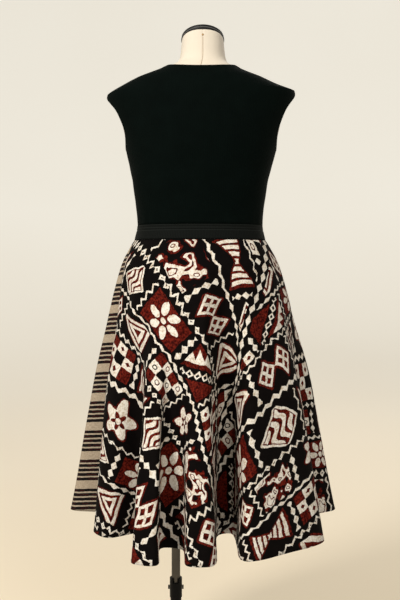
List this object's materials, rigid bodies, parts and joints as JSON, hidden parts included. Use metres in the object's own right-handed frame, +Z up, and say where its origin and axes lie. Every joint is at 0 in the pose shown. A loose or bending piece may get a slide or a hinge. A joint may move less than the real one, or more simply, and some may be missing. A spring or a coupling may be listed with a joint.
{
  "type": "reversible dress on a dress form",
  "caption": "Sleeveless fit-and-flare dress with an elastic waistband and a fluted patchwork-print skirt, worn by a limbless dress form on a telescopic stand.",
  "frame": {"origin": "on the floor under the round base, on the axis of the stand's rod", "axes": "+Z up along the rod; -Y the side that the back of the dress faces, which the picture shows; +X to the right seen from there, the side that the form stands to"},
  "size_m": [0.5917, 0.6454, 1.4924],
  "materials": {
    "jersey_black": "matte knit",
    "elastic_black": "ribbed elastic",
    "print_cotton": "printed plain weave",
    "stripe_cotton": "printed plain weave",
    "form_linen": "plain woven cover",
    "cap_black": "satin",
    "rod_steel": "satin",
    "stand_black": "satin paint"
  },
  "bodies": {
    "stand": {"stand_base": "stand_black", "stand_tube": "stand_black", "clamp_collar": "stand_black", "clamp_bolt_left": "stand_black", "clamp_bolt_right": "stand_black"},
    "rod": {"height_rod": "rod_steel"},
    "form": {"form_torso": "form_linen", "neck_cap": "cap_black", "form_flange": "stand_black", "bodice_back": "jersey_black", "bodice_front": "jersey_black", "waistband": "elastic_black", "skirt_back": "print_cotton", "skirt_front_left": "stripe_cotton", "skirt_front_right": "stripe_cotton"}
  },
  "joints": [
    {"name": "height", "type": "slide", "parent": "stand", "child": "rod", "axis": [0, 0, 1], "range_m": [-0.1, 0.1]},
    {"name": "swivel", "type": "hinge", "parent": "rod", "child": "form", "pos_m": [0, 0, 0.742], "axis": [0, 0, 1], "continuous": true}
  ]
}
